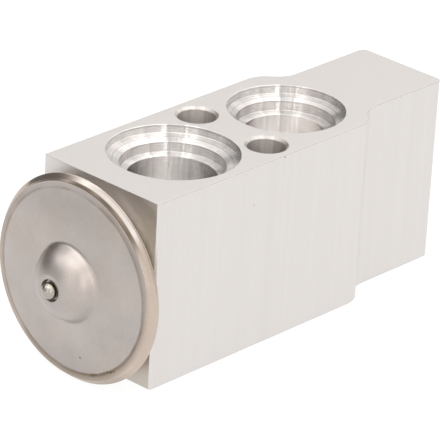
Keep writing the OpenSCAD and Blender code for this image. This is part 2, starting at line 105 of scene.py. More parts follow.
# Roughness of each finish
EXTRUDED_ROUGH, MILLED_ROUGH, FRONT_ROUGH = 0.42, 0.3, 0.42
EDGE_ROUGH, BROKEN_ROUGH = 0.15, 0.45
PORT_ROUGH, PORT_SMEAR = 0.2, 1.0
HOLE_ROUGH, HOLE_SMEAR = 0.35, 0.9
HEAD_ROUGH, HEAD_ROUGH_VARIES, HEAD_BACK_DULLER, RIM_SMOOTHER, BOSS_DULLER = 0.24, 0.1, 0.35, -0.1, 0.08
PLUG_ROUGH, STEEL_ROUGH, BRASS_ROUGH, ROD_ROUGH, RUBBER_ROUGH = 0.22, 0.25, 0.28, 0.25, 0.55

# Colours
ALU = (0.69, 0.662, 0.642)
# painted reflection: the tan that the front end shows low down
ALU_PAINTED_REFLECTION = (0.5658, 0.50974, 0.45903)
TURNED = (0.8, 0.775, 0.76)
DRILLED = (0.66, 0.62, 0.59)
FACE_COOL, FACE_WARM = (0.462, 0.421, 0.399), (0.479, 0.427, 0.396)
RIM = (0.56, 0.47, 0.4)
# painted highlight: the paler colours of the rim's upper right
PAINTED_RIM_HIGHLIGHT_DARK, PAINTED_RIM_HIGHLIGHT_LIGHT = (0.52, 0.48, 0.445), (0.58, 0.54, 0.5)
# painted light: the paler colour of the cup's back
CUP_BACK_PAINTED_LIGHT = (0.68, 0.62, 0.51)
# Brown stain, also used as painted shade beside the seam and on the boss; painted shade for the rim's
# crease; specks
STAIN_AND_SHADE, CREASE_SHADE, SPECK = (0.2, 0.15, 0.11), (0.12, 0.09, 0.065), (0.1, 0.07, 0.05)
PLUG_STEEL, INNER_STEEL = (0.42, 0.385, 0.34), (0.6, 0.59, 0.57)
BRASS, ROD_ALU = (0.75, 0.6, 0.34), (0.85, 0.84, 0.83)
RUBBER_DARK, RUBBER_LIGHT = (0.012, 0.012, 0.013), (0.022, 0.022, 0.023)

# Specks on the head: (y, z from the axis, size, strength). Pits in the near side: (x, z, strength)
SPECKS = ((-2.91, -12.89, 0.26, 0.85), (-5.2, -15.5, 0.3, 0.5), (-5.8, -15.2, 0.4, 0.7),
          (-6.4, -14.9, 0.3, 0.5), (-9.0, -13.35, 0.3, 0.5), (-9.7, -13.1, 0.4, 0.7),
          (-10.4, -12.75, 0.3, 0.6))
PITS = ((-1.01, 33.76, 0.5), (-8.13, 27.01, 0.22))


# Paths

def arc_points(a, b, c, r, n):
    """Points of the arc of radius r that rounds corner b of the path a-b-c."""
    a, b, c = Vector(a), Vector(b), Vector(c)
    u, v = (a - b).normalized(), (c - b).normalized()
    half = math.acos(max(-1.0, min(1.0, u.dot(v)))) / 2
    reach = r / math.tan(half)
    start, stop = b + u * reach, b + v * reach
    centre = b + (u + v).normalized() * (r / math.sin(half))
    p, q = start - centre, stop - centre
    turn = math.atan2(p.x * q.y - p.y * q.x, p.dot(q))
    out = []
    for i in range(n + 1):
        t = turn * i / n
        out.append((centre.x + p.x * math.cos(t) - p.y * math.sin(t),
                    centre.y + p.x * math.sin(t) + p.y * math.cos(t)))
    return out


def rounded(path, closed=False):
    """A path of (x, y) or (x, y, radius, steps) corners as points. Without a radius a corner is sharp."""
    out = []
    n = len(path)
    for i, corner in enumerate(path):
        x, y, r, steps = corner if len(corner) == 4 else (*corner, 0, 0)
        if r <= 0 or (not closed and i in (0, n - 1)):
            out.append((x, y))
            continue
        out += arc_points(path[i - 1][:2], (x, y), path[(i + 1) % n][:2], r, steps)
    return out


def inset(path, d):
    """The closed counter-clockwise path moved inwards by d."""
    least_miter = 0.3
    out = []
    for i in range(len(path)):
        a, b, c = Vector(path[i - 1]), Vector(path[i]), Vector(path[(i + 1) % len(path)])
        u, v = (b - a).normalized(), (c - b).normalized()
        nu, nv = Vector((-u.y, u.x)), Vector((-v.y, v.x))
        m = (nu + nv).normalized()
        out.append(tuple(b + m * (d / max(least_miter, m.dot(nu)))))
    return out


# Meshes

def circle(steps):
    """(cosine, sine) of each step round a circle."""
    turns = [2 * math.pi * i / steps for i in range(steps)]
    return [(math.cos(a), math.sin(a)) for a in turns]


def flat_ring(bm, cx, cy, r, z, steps):
    """A ring of vertices about an upright axis."""
    return [bm.verts.new(((cx + r * c) * MM, (cy + r * s) * MM, z * MM)) for c, s in circle(steps)]


def axis_ring(bm, x, r, steps):
    """A ring of vertices about the rod axis."""
    return [bm.verts.new((x * MM, r * c * MM, (AXIS + r * s) * MM)) for c, s in circle(steps)]


def bridge(bm, rings, slot=0):
    """Quads between each ring and the next, all with the same count."""
    for a, b in zip(rings, rings[1:]):
        for i in range(len(a)):
            j = (i + 1) % len(a)
            bm.faces.new((a[i], a[j], b[j], b[i])).material_index = slot


def cap_ends(bm, rings):
    bm.faces.new(rings[0])
    bm.faces.new(rings[-1])


def finish_mesh(bm, name, materials):
    """The mesh as an object in the scene, smooth and with its faces turned outwards."""
    bmesh.ops.recalc_face_normals(bm, faces=bm.faces)
    mesh = bpy.data.meshes.new(name)
    bm.to_mesh(mesh)
    bm.free()
    for face in mesh.polygons:
        face.use_smooth = True
    obj = bpy.data.objects.new(name, mesh)
    bpy.context.scene.collection.objects.link(obj)
    for m in materials:
        mesh.materials.append(m)
    return obj


def shade(obj, sharp_deg):
    """Smooth shading that keeps edges above the angle sharp and flat faces flat."""
    obj.data.set_sharp_from_angle(angle=math.radians(sharp_deg))
    weighted = obj.modifiers.new("normals", "WEIGHTED_NORMAL")
    weighted.keep_sharp = True
    weighted.weight = 100
    return obj


def spin(name, profile, material):
    """A closed profile of (radius, distance before the block) turned about the rod axis."""
    bm = bmesh.new()
    rings = [axis_ring(bm, FRONT - u, r, HEAD_STEPS) for r, u in profile]
    bridge(bm, rings + rings[:1])
    return shade(finish_mesh(bm, name, [material]), HEAD_SHARP)


# Shader nodes

class Graph:
    """Short names for the nodes of a material or of the world. A value is a socket or a constant."""

    def __init__(self, tree):
        self.tree = tree

    def node(self, kind, **settings):
        n = self.tree.nodes.new(kind)
        for name, value in settings.items():
            setattr(n, name, value)
        return n

    def feed(self, value, socket):
        if isinstance(value, bpy.types.NodeSocket):
            self.tree.links.new(value, socket)
        else:
            socket.default_value = value

    def feed_all(self, shader, values):
        for name, value in values.items():
            self.feed(value, shader.inputs[name])

    def math(self, op, *values):
        n = self.node("ShaderNodeMath", operation=op)
        for value, socket in zip(values, n.inputs):
            self.feed(value, socket)
        return n.outputs[0]

    def add(self, a, b):
        return self.math("ADD", a, b)

    def sub(self, a, b):
        return self.math("SUBTRACT", a, b)

    def mul(self, first, *others):
        for other in others:
            first = self.math("MULTIPLY", first, other)
        return first

    def mad(self, value, factor, offset):
        return self.math("MULTIPLY_ADD", value, factor, offset)

    def hypot(self, a, b):
        return self.math("SQRT", self.add(self.mul(a, a), self.mul(b, b)))

    def changed(self, mask, change):
        """1 where the mask is 0, and 1 + change where it is 1."""
        return self.mad(mask, change, 1.0)

    def span(self, value, start, stop):
        """0 at start and 1 at stop, with a soft step between. Start may be the larger."""
        low, high = sorted((start, stop))
        n = self.node("ShaderNodeMapRange", interpolation_type="SMOOTHSTEP")
        self.feed_all(n, {"Value": value, "From Min": low, "From Max": high,
                          "To Min": float(start > stop), "To Max": float(start < stop)})
        return n.outputs[0]

    def near(self, value, centre, outer, inner):
        """1 within inner of the centre, and 0 beyond outer."""
        return self.span(self.math("ABSOLUTE", self.sub(value, centre)), outer, inner)

    def vector_math(self, op, *values, output="Vector"):
        n = self.node("ShaderNodeVectorMath", operation=op)
        for value, socket in zip(values, n.inputs):
            self.feed(value, socket)
        return n.outputs[output]

    def vector(self, x, y, z):
        n = self.node("ShaderNodeCombineXYZ")
        for value, socket in zip((x, y, z), n.inputs):
            self.feed(value, socket)
        return n.outputs[0]

    def split(self, vector):
        n = self.node("ShaderNodeSeparateXYZ")
        self.feed(vector, n.inputs[0])
        return tuple(n.outputs)

    def point(self):
        """The shaded point in the object's own frame, in metres."""
        return self.node("ShaderNodeTexCoord").outputs["Object"]

    def place(self):
        """x, y and z of the shaded point, in millimetres."""
        return [self.math("DIVIDE", v, MM) for v in self.split(self.point())]

    def distance(self, x, y, z):
        """The shaded point's distance from a place, in millimetres."""
        metres = self.vector_math("DISTANCE", self.point(), (x * MM, y * MM, z * MM), output="Value")
        return self.math("DIVIDE", metres, MM)

    def noise(self, vector, scale, detail, roughness):
        n = self.node("ShaderNodeTexNoise")
        self.feed_all(n, {"Vector": vector, "Scale": scale, "Detail": detail, "Roughness": roughness})
        return n.outputs["Fac"]

    def stretched_noise(self, scales, detail, roughness):
        """Noise of the shaded point with its own scale along each axis."""
        n = self.node("ShaderNodeMapping")
        self.feed_all(n, {"Vector": self.point(), "Scale": scales})
        return self.noise(n.outputs[0], 1.0, detail, roughness)

    def ramp(self, factor, *stops):
        """Colours between two (position, colour) stops."""
        n = self.node("ShaderNodeValToRGB")
        for element, (position, colour) in zip(n.color_ramp.elements, stops):
            element.position = position
            element.color = (*colour, 1)
        self.feed(factor, n.inputs[0])
        return n.outputs[0]

    def tones(self, factor, base, dark, light, start=0.3, stop=0.7):
        """The base colour times dark to light, as the factor goes from start to stop."""
        return self.ramp(factor, *((position, tuple(c * tone for c in base))
                                   for position, tone in ((start, dark), (stop, light))))

    def scaled(self, colour, factor):
        """A colour times a value."""
        n = self.node("ShaderNodeVectorMath", operation="SCALE")
        self.feed(colour, n.inputs[0])
        self.feed(factor, n.inputs["Scale"])
        return n.outputs[0]

    def mixed(self, mask, first, second):
        """The first colour where the mask is 0, and the second where it is 1."""
        n = self.node("ShaderNodeMix", data_type="RGBA")
        self.feed(mask, n.inputs[0])
        for colour, socket in ((first, n.inputs[6]), (second, n.inputs[7])):
            self.feed((*colour, 1) if isinstance(colour, tuple) else colour, socket)
        return n.outputs[2]

    def bump(self, height, strength, distance):
        n = self.node("ShaderNodeBump")
        self.feed_all(n, {"Height": height, "Strength": strength, "Distance": distance})
        return n.outputs[0]


def new_material(name):
    """A material with its graph and its shader."""
    m = bpy.data.materials.new(name)
    m.use_nodes = True
    return m, Graph(m.node_tree), m.node_tree.nodes["Principled BSDF"]


# Materials of the block

def extruded_material():
    """The block's long sides: fine upright lines left by extrusion, and two small pits."""
    m, g, shader = new_material("extruded_side")
    lines = g.stretched_noise((900, 900, 9), 3.0, 0.6)
    wide = g.stretched_noise((160, 160, 3), 2.0, 0.5)
    colour = g.tones(g.add(g.mul(lines, 0.5), g.mul(wide, 0.5)), ALU, 0.97, 1.02)
    for x, z, strength in PITS:
        pit = g.span(g.distance(x, -WIDE, z), 0.3, 0.1)
        colour = g.scaled(colour, g.changed(pit, -strength))
    g.feed_all(shader, {"Metallic": 1.0, "Roughness": EXTRUDED_ROUGH, "Base Color": colour,
                        "Normal": g.bump(lines, 0.08, 0.00005)})
    return m


def milled_material():
    """The port faces and the bores on the rod axis: finely milled."""
    m, g, shader = new_material("milled_face")
    grain = g.stretched_noise((500, 2500, 500), 3.0, 0.6)
    g.feed_all(shader, {"Metallic": 1.0, "Roughness": MILLED_ROUGH,
                        "Base Color": g.tones(grain, ALU, 0.86, 0.89)})
    return m


def front_material():
    """The front end: milled, painted tan low down where it mirrors the floor, with a painted sheen above
    the head's rim.
    """
    m, g, shader = new_material("milled_front")
    _, y, z = g.place()
    grain = g.stretched_noise((500, 500, 2500), 3.0, 0.6)
    # painted reflection: tan below 6 to 12 mm. Painted sheen: up to 36% lighter in a band just outside the
    # head's outline, above its rim, on the near side
    colour = g.mixed(g.span(z, 12, 6), g.tones(grain, ALU, 0.95, 0.99), ALU_PAINTED_REFLECTION)
    painted_sheen = g.mul(g.span(g.distance(FRONT, 4, 14.3), 21.2, 19.5), g.span(z, 19, 23), g.span(y, -3, -7),
                  g.changed(g.span(y, -9, -11.5), -0.7))
    g.feed_all(shader, {"Metallic": 1.0, "Roughness": FRONT_ROUGH,
                        "Base Color": g.scaled(colour, g.changed(painted_sheen, 0.36))})
    return m


def dark_rings(g, r, depth, rings):
    """The tone left by dark lines round a port."""
    tone = 1.0
    for ring_r, ring_depth, wide, high, strength in rings:
        line = g.mul(g.near(r, ring_r, wide, wide * 0.4), g.near(depth, ring_depth, high, high * 0.4))
        tone = g.mul(g.changed(line, -strength), tone)
    return tone


def turned_tone(g, r, z, around):
    """The tone of fine rings, crossed by the streaks of chatter."""
    rings = g.noise(g.vector(g.mul(r, 6.0), 0.0, g.mul(z, 6.0)), 1.0, 2.0, 0.6)
    chatter = g.span(g.noise(around, 5.0, 4.0, 0.7), 0.4, 0.6)
    return g.mul(g.mad(chatter, 0.14, 0.93), g.mad(rings, 0.16, 0.92))


def grooved_normal(g, r, z, around, normal):
    """The flanks of the rings tip the normal across the rings, never along them."""
    slope, per_mm = 0.45, 400.0
    groove = g.node("ShaderNodeTexWhiteNoise", noise_dimensions="2D")
    cell = [g.math("ROUND", g.mul(v, per_mm)) for v in (r, z)]
    g.feed(g.vector(*cell, 0.0), groove.inputs["Vector"])
    tip = g.mad(groove.outputs["Value"], 2 * slope, -slope)
    lean = g.scaled(g.vector_math("CROSS_PRODUCT", around, normal), tip)
    return g.vector_math("NORMALIZE", g.vector_math("ADD", normal, lean))


def turned_material(name, cx, cy, base, rough, smear, rings=(), bore_tone=1.0, ledge_tone=0.82):
    """A wall turned about an upright axis at (cx, cy). Its fine rings smear reflections upright.

    Each of the rings is a dark line (radius, depth, radial half width, upright half width, strength).
    """
    m, g, shader = new_material(name)
    x, y, z = g.place()
    dx, dy = g.sub(x, cx), g.sub(y, cy)
    r = g.hypot(dx, dy)
    around = g.vector_math("NORMALIZE", g.vector(g.mul(dy, -1.0), dx, 0.0))
    depth = g.math("MINIMUM", z, g.sub(H, z))
    normal = g.node("ShaderNodeNewGeometry").outputs["Normal"]
    level = g.span(g.math("ABSOLUTE", g.split(normal)[2]), 0.6, 0.9)
    # painted light: the part of each wall on the camera's right is up to 20% lighter
    rightwards = g.math("DIVIDE", g.sub(g.mul(dx, 0.68), g.mul(dy, 0.73)), r)
    tone = g.mul(turned_tone(g, r, z, around), dark_rings(g, r, depth, rings),
                 g.changed(g.span(rightwards, 0.6, 0.95), 0.2),
                 # painted light and shade: the bore below 4.3 mm and the level ledges take each port's own
                 # tone
                 g.changed(g.span(depth, 4.2, 4.4), bore_tone - 1.0),
                 g.changed(level, ledge_tone - 1.0))
    g.feed_all(shader, {"Metallic": 1.0, "Roughness": rough, "Anisotropic": smear,
                        "Anisotropic Rotation": 0.25, "Tangent": around,
                        "Base Color": g.scaled(base, tone),
                        "Normal": grooved_normal(g, r, z, around, normal)})
    return m


def port_material(name, port, **tones):
    """A port's walls, with a dark line under its mouth, above its lead and at the top of its seal."""
    rings = [(port.mouth, 0.25, 0.2, 0.25, 0.2), (port.seal + port.lead, 1.75, 0.14, 0.2, 0.16),
             (port.seal, 2.35, 0.12, 0.2, 0.14)]
    return turned_material(name, port.x, 0, TURNED, PORT_ROUGH, PORT_SMEAR, rings, **tones)


def hole_material(name, y, tone):
    """A fixing hole's wall."""
    return turned_material(name, 0, y, tuple(c * tone for c in DRILLED), HOLE_ROUGH, HOLE_SMEAR)


# Materials of the other pieces

def plain_metal(name, base, rough, speckle=0.0):
    """Bare metal, with specks darker than the base by the share speckle."""
    m, g, shader = new_material(name)
    grain = g.noise(g.point(), 900.0, 3.0, 0.6)
    g.feed_all(shader, {"Metallic": 1.0, "Roughness": rough,
                        "Base Color": g.tones(grain, base, 1 - speckle, 1.0)})
    return m


def rubber_material():
    m, g, shader = new_material("seal_rubber")
    grain = g.noise(g.point(), 1500.0, 2.0, 0.5)
    g.feed_all(shader, {"Roughness": RUBBER_ROUGH,
                        "Base Color": g.ramp(grain, (0.3, RUBBER_DARK), (0.7, RUBBER_LIGHT))})
    return m


# All in millimetres from the rod axis, apart from point, which is in metres for the noises
HeadPlace = namedtuple("HeadPlace", "point x y z radius from_seam")


def head_place(g):
    """Where the shaded point lies on the head. The seam wanders a little."""
    x, y, z = g.place()
    z = g.sub(z, AXIS)
    radius = g.hypot(y, z)
    wander = g.mul(g.sub(g.noise(g.point(), 170.0, 3.0, 0.6), 0.5), 0.5)
    return HeadPlace(g.point(), x, y, z, radius, g.sub(g.add(radius, wander), SEAM_R))


def head_face_colour(g, at, mottle):
    """The cover: cool and warm clouds, darker towards the top and the foot."""
    cool, warm = (g.tones(mottle, face, 0.9, 1.06, 0.34, 0.66) for face in (FACE_COOL, FACE_WARM))
    clouds = g.mixed(g.span(g.noise(at.point, 110.0, 2.0, 0.5), 0.42, 0.6), cool, warm)
    shade_top = g.changed(g.span(at.z, 4, 14), -0.13)
    shade_foot = g.changed(g.span(at.z, -8, -16), -0.07)
    return g.scaled(clouds, g.mul(shade_top, shade_foot))


def head_rim_colour(g, at, mottle):
    """The rolled rim: warmer, with a paler painted highlight at the upper right and painted shade at the
    foot.
    """
    # painted highlight: a paler, less warm colour at the upper right of the rim
    top = g.mul(g.span(at.z, 10.5, 13), g.span(at.y, 3, -1))
    colour = g.mixed(top, g.tones(mottle, RIM, 0.92, 1.05),
                     g.ramp(mottle, (0.3, PAINTED_RIM_HIGHLIGHT_DARK), (0.7, PAINTED_RIM_HIGHLIGHT_LIGHT)))
    # painted shade: the rim is 20% darker at its foot
    return g.scaled(colour, g.changed(g.span(at.z, -11.5, -15), -0.2))


def seam_stains_and_shade(g, at):
    """Masks of the brown stain along the seam and at its foot, and of painted shade beside it on the lower
    right.
    """
    low_right = g.span(g.add(g.mul(at.y, -0.062), g.mul(at.z, -0.037)), -0.45, 0.0)
    # painted shade: a band just outside the seam on the lower right, fading over 1.5 mm
    beside = g.mul(g.span(at.from_seam, 1.5, 0.0), g.span(at.from_seam, -0.35, -0.05), low_right,
                   g.mad(g.span(at.z, -6, -11), 0.18, 0.45))
    patches = g.mad(g.span(g.noise(at.point, 260.0, 3.0, 0.6), 0.42, 0.6), 0.28, 0.08)
    patches = g.mad(g.mul(g.span(at.z, 1, -5), g.span(at.y, -4, -8)), 0.3, patches)
    along = g.mul(g.near(at.from_seam, 0.1, 0.38, 0.05), patches)
    spots = g.span(g.noise(at.point, 900.0, 2.0, 0.6), 0.5, 0.62)
    foot = g.mul(g.span(at.from_seam, -0.3, -0.05), g.span(at.from_seam, 0.45, 0.15),
                 g.span(at.z, -11.5, -14), g.span(at.y, 0, -3), g.mad(spots, 0.5, 0.4))
    return beside, along, foot


def head_shades(g, at):
    """Masks of the places that look darker: painted shade in the rim's crease and on the boss's upper left,
    and the rim's outside and the left.
    """
    # painted shade: a dark line in the rim's crease at the upper right
    crease = g.mul(g.near(at.radius, 17.46, 0.3, 0.08), g.span(at.z, 8, 13), g.span(at.y, 4, 0), 0.95)
    outside = g.mul(g.span(at.radius, 18.1, 18.3), g.span(at.z, 2, 8), g.span(at.y, -2, -6), 0.6)
    left = g.mul(g.span(at.y, 10, 14), g.span(at.radius, 15.9, 16.3), 0.28)
    # painted shade: the boss's upper left
    boss = g.mul(g.span(at.radius, 7, 6), g.span(at.y, 0, 3), g.span(at.z, 0, 3), 0.25)
    return crease, outside, left, boss


def speck_mask(g, at, y, z, size, strength):
    return g.mul(g.span(g.hypot(g.sub(at.y, y), g.sub(at.z, z)), size, size * 0.4), strength)


def head_material():
    """Pressed stainless sheet, a little mottled, with a warmer rim, a stained seam, painted shade and a
    dull back painted lighter.
    """
    m, g, shader = new_material("pressed_steel")
    at = head_place(g)
    cloud = g.noise(at.point, 140.0, 4.0, 0.6)
    mottle = g.add(g.mul(cloud, 0.75), g.mul(g.noise(at.point, 2500.0, 2.0, 0.6), 0.25))
    rim_start = g.mad(g.span(at.z, 6, -3), 0.75, at.radius)
    colour = g.mixed(g.span(rim_start, 16.9, 17.7), head_face_colour(g, at, mottle),
                     head_rim_colour(g, at, mottle))
    beside, along, foot = seam_stains_and_shade(g, at)
    crease, outside, left, boss = head_shades(g, at)
    back = g.span(at.x, FRONT - 4.0, FRONT - 3.8)
    # painted light: the cup's back is painted paler, most on its near side and away from its top
    back_painted_light = g.math("MAXIMUM", g.span(at.y, -5, -10), g.span(at.z, 11.5, 8.5))
    # painted shade goes on with the stains: beside the seam, in the rim's crease and on the boss
    layers = [(beside, STAIN_AND_SHADE), (crease, CREASE_SHADE), (outside, STAIN_AND_SHADE), (along, STAIN_AND_SHADE), (foot, STAIN_AND_SHADE),
              (left, STAIN_AND_SHADE), (boss, STAIN_AND_SHADE)]
    layers += [(speck_mask(g, at, *speck), SPECK) for speck in SPECKS]
    layers += [(g.mul(back, g.mad(back_painted_light, 0.6, 0.15)), CUP_BACK_PAINTED_LIGHT)]
    for mask, tint in layers:
        colour = g.mixed(mask, colour, tint)
    rough = g.mad(cloud, HEAD_ROUGH_VARIES, HEAD_ROUGH)
    for mask, change in ((back, HEAD_BACK_DULLER), (g.span(at.radius, 17.2, 17.6), RIM_SMOOTHER),
                         (g.span(at.radius, 7.2, 6.2), BOSS_DULLER)):
        rough = g.mad(mask, change, rough)
    g.feed_all(shader, {"Metallic": 1.0, "Roughness": rough, "Base Color": colour})
    return m


side_mat = extruded_material()
face_mat = milled_material()
front_mat = front_material()
edge_mat = plain_metal("rounded_edge", ALU, EDGE_ROUGH)
# painted shade: the block's broken upper and lower edges are 28% darker than the aluminium
broken_mat = plain_metal("broken_edge", tuple(c * 0.72 for c in ALU), BROKEN_ROUGH)
# painted light and shade: the ports' bores and ledges, and the right hole's wall, have tones of their own
suction_mat = port_material("turned_suction", SUCTION, bore_tone=0.95)
inlet_mat = port_material("turned_inlet", INLET, bore_tone=1.12, ledge_tone=0.74)
outlet_mat = port_material("turned_outlet", OUTLET)
left_hole_mat = hole_material("turned_hole_left", HOLE_Y, 1.0)
right_hole_mat = hole_material("turned_hole_right", -HOLE_Y, 0.95)
head_mat = head_material()
plug_mat = plain_metal("plug_steel", PLUG_STEEL, PLUG_ROUGH)
steel_mat = plain_metal("inner_steel", INNER_STEEL, STEEL_ROUGH, speckle=0.06)
brass_mat = plain_metal("turned_brass", BRASS, BRASS_ROUGH, speckle=0.06)
rod_mat = plain_metal("rod_aluminium", ROD_ALU, ROD_ROUGH, speckle=0.04)
rubber_mat = rubber_material()


# The block

BLOCK_MATERIALS = [side_mat, face_mat, suction_mat, inlet_mat, outlet_mat, left_hole_mat,
                   right_hole_mat, front_mat, edge_mat, broken_mat]
(SIDE_SLOT, FACE_SLOT, SUCTION_SLOT, INLET_SLOT, OUTLET_SLOT, LEFT_HOLE_SLOT, RIGHT_HOLE_SLOT,
 FRONT_SLOT, EDGE_SLOT, BROKEN_SLOT) = range(len(BLOCK_MATERIALS))


def block_path():
    """The block's outline from above, with its upright edges rounded."""
    slope = (WIDE - NARROW) / 2
    neck = [(SHOULDER_X - slope, -WIDE, SHOULDER_R, 14), (SHOULDER_X + slope, -NARROW, SHOULDER_R, 14),
            (END, -NARROW, NECK_R, 8)]
    near = [(FRONT, -WIDE + NEAR_CHAMFER, 0.12, 4), (FRONT + NEAR_CHAMFER, -WIDE, 0.25, 5)] + neck
    far = [(x, -y, r, steps) for x, y, r, steps in reversed(neck)]
    far += [(FRONT + FAR_CHAMFER, WIDE, 0.1, 3), (FRONT, WIDE - FAR_CHAMFER, 0.1, 3)]
    return rounded(near + far, closed=True)


def port_profile(port):
    """(radius, depth) of a port from its face down to its bore, with small broken edges."""
    return rounded([(port.mouth + 0.5, 0), (port.mouth, 0, 0.12, 3), (port.mouth, MOUTH_DEPTH, 0.15, 4),
                    (port.seal + port.lead, LEAD_DEPTH, 0.08, 3), (port.seal, SEAL_START, 0.12, 3),
                    (port.seal, SEAL_STOP, 0.12, 3), (port.bore, BORE_START, 0.08, 3),
                    (port.bore, BORE_STOP)])[1:]


def hole_profile():
    """(radius, depth) of a fixing hole's countersink and wall."""
    return rounded([(HOLE_SINK_R + 0.5, 0), (HOLE_SINK_R, 0, 0.06, 2), (HOLE_R, HOLE_SINK, 0.15, 3),
                    (HOLE_R, 3)])[1:]


def block_walls(bm):
    """The block's sides with broken upper and lower edges. Gives the lowest and the highest loop."""
    steps = 3
    path = block_path()
    edge = []
    for k in range(steps + 1):
        t = math.pi / 2 * k / steps
        edge.append((inset(path, BROKEN_EDGE * (1 - math.sin(t))), BROKEN_EDGE * (1 - math.cos(t))))
    levels = edge + [(loop, H - z) for loop, z in reversed(edge)]
    loops = [[bm.verts.new((x * MM, y * MM, z * MM)) for x, y in loop] for loop, z in levels]
    bridge(bm, loops, SIDE_SLOT)
    for face in bm.faces:
        centre = face.calc_center_median() / MM
        if not BROKEN_EDGE < centre.z < H - BROKEN_EDGE:
            face.material_index = BROKEN_SLOT
        elif centre.x < FRONT + 0.02:
            face.material_index = FRONT_SLOT
        elif centre.x < FRONT + NEAR_CHAMFER:
            face.material_index = EDGE_SLOT
    return loops[0], loops[-1]


def through_bore(bm, cx, cy, profile, steps, slot):
    """A bore with the same mouth in both faces. Gives its upper and its lower ring."""
    levels = [(r, H - d) for r, d in profile] + [(r, d) for r, d in reversed(profile)]
    rings = [flat_ring(bm, cx, cy, r, z, steps) for r, z in levels]
    bridge(bm, rings, slot)
    return rings[0], rings[-1]


def blind_bore(bm, cx, profile, bottom, up, steps, slot):
    """A bore from one face down to a flat bottom. Gives its mouth's ring."""
    bore = profile[-1][0]
    levels = profile[:-1] + rounded([profile[-2], (bore, bottom, 0.3, 4), (0.5, bottom + 0.01)])[1:]
    rings = [flat_ring(bm, cx, 0, r, H - d if up else d, steps) for r, d in levels]
    bridge(bm, rings, slot)
    bm.faces.new(rings[-1]).material_index = slot
    return rings[0]


def fill_face(bm, loops):
    """Closes a port face between the block's outline and the mouths of its bores."""
    edges = [bm.edges.get((loop[i], loop[(i + 1) % len(loop)])) for loop in loops for i in range(len(loop))]
    filled = bmesh.ops.triangle_fill(bm, edges=edges, use_beauty=True, use_dissolve=False)
    for part in filled["geom"]:
        if isinstance(part, bmesh.types.BMFace):
            part.material_index = FACE_SLOT


def build_block():
    bm = bmesh.new()
    low, high = block_walls(bm)
    suction_high, suction_low = through_bore(bm, SUCTION.x, 0, port_profile(SUCTION), PORT_STEPS,
                                             SUCTION_SLOT)
    inlet = blind_bore(bm, INLET.x, port_profile(INLET), INLET_DEPTH, True, PORT_STEPS, INLET_SLOT)
    outlet = blind_bore(bm, OUTLET.x, port_profile(OUTLET), OUTLET_DEPTH, False, OUTLET_STEPS, OUTLET_SLOT)
    left_high, left_low = through_bore(bm, 0, HOLE_Y, hole_profile(), HOLE_STEPS, LEFT_HOLE_SLOT)
    right_high, right_low = through_bore(bm, 0, -HOLE_Y, hole_profile(), HOLE_STEPS, RIGHT_HOLE_SLOT)
    fill_face(bm, [high, suction_high, inlet, left_high, right_high])
    fill_face(bm, [low, suction_low, outlet, left_low, right_low])
    return finish_mesh(bm, "block", BLOCK_MATERIALS)


def axis_cutter():
    """The bores on the rod axis as one turned solid."""
    bm = bmesh.new()
    rings = [axis_ring(bm, x, r, CUTTER_STEPS) for x, r in AXIS_BORES]
    bridge(bm, rings)
    cap_ends(bm, rings)
    return finish_mesh(bm, "axis_bores", [face_mat])


def way_cutter(name, cx, r, low, high):
    """An upright drilling that joins a port to the rod axis."""
    bm = bmesh.new()
    rings = [flat_ring(bm, cx, 0, r, z, WAY_STEPS) for z in (low, high)]
    bridge(bm, rings)
    cap_ends(bm, rings)
    return finish_mesh(bm, name, [face_mat])


def cut(obj, tools):
    """Takes the tools off the object for good."""
    for tool in tools:
        boolean = obj.modifiers.new("cut", "BOOLEAN")
        boolean.operation = "DIFFERENCE"
        boolean.solver = "EXACT"
        boolean.object = tool
        bpy.context.view_layer.update()
        depsgraph = bpy.context.evaluated_depsgraph_get()
        mesh = bpy.data.meshes.new_from_object(obj.evaluated_get(depsgraph))
        obj.modifiers.remove(boolean)
        obj.data = mesh
        bpy.data.objects.remove(tool)


block = build_block()
cut(block, [axis_cutter(),
            way_cutter("inlet_way", INLET_WAY_X, INLET_WAY_R, AXIS, INLET_WAY_TOP),
            way_cutter("outlet_way", OUTLET_WAY_X, OUTLET_WAY_R, OUTLET_WAY_LOW, AXIS)])
shade(block, BLOCK_SHARP)
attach(block, "block")
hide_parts("valve_body")


# The sensing head

cover = spin("head_cover", rounded(COVER), head_mat)
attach(cover, "block")
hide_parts("element_cover")

cup = spin("head_cup", rounded(CUP_OUTSIDE) + rounded(CUP_INSIDE)[:-1], head_mat)
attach(cup, "block")
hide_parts("element_base")

plug_bm = bmesh.new()
bmesh.ops.create_uvsphere(plug_bm, u_segments=PLUG_STEPS, v_segments=PLUG_STEPS // 2, radius=PLUG_R * MM)
plug = finish_mesh(plug_bm, "plug", [plug_mat])
plug.location = ((FRONT - PLUG_OUT) * MM, 0, AXIS * MM)
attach(plug, "block")
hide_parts("plug_ball")


# The spring, in two halves that meet at its middle turn

def spring_x(turn):
    """Where the wire's centre lies along the rod axis. The first and last turns lie closed."""
    closed = 2 * WIRE_R + SPRING_GAP
    free = SPRING_END - SPRING_START - 2 * (WIRE_R + SPRING_GAP)
    pitch = (free - 2 * closed) / (SPRING_TURNS - 2)
    return (SPRING_START + WIRE_R + SPRING_GAP + closed * min(turn, 1)
            + pitch * max(0, min(turn, SPRING_TURNS - 1) - 1) + closed * max(0, turn - SPRING_TURNS + 1))


def wire_loop(bm, turn):
    """The wire's section at a turn of the spring."""
    a = 2 * math.pi * turn
    loop = []
    for c, s in circle(WIRE_STEPS):
        r = SPRING_R + WIRE_R * c
        loop.append(bm.verts.new(((spring_x(turn) + WIRE_R * s) * MM, r * math.cos(a) * MM,
                                  (AXIS + r * math.sin(a)) * MM)))
    return loop


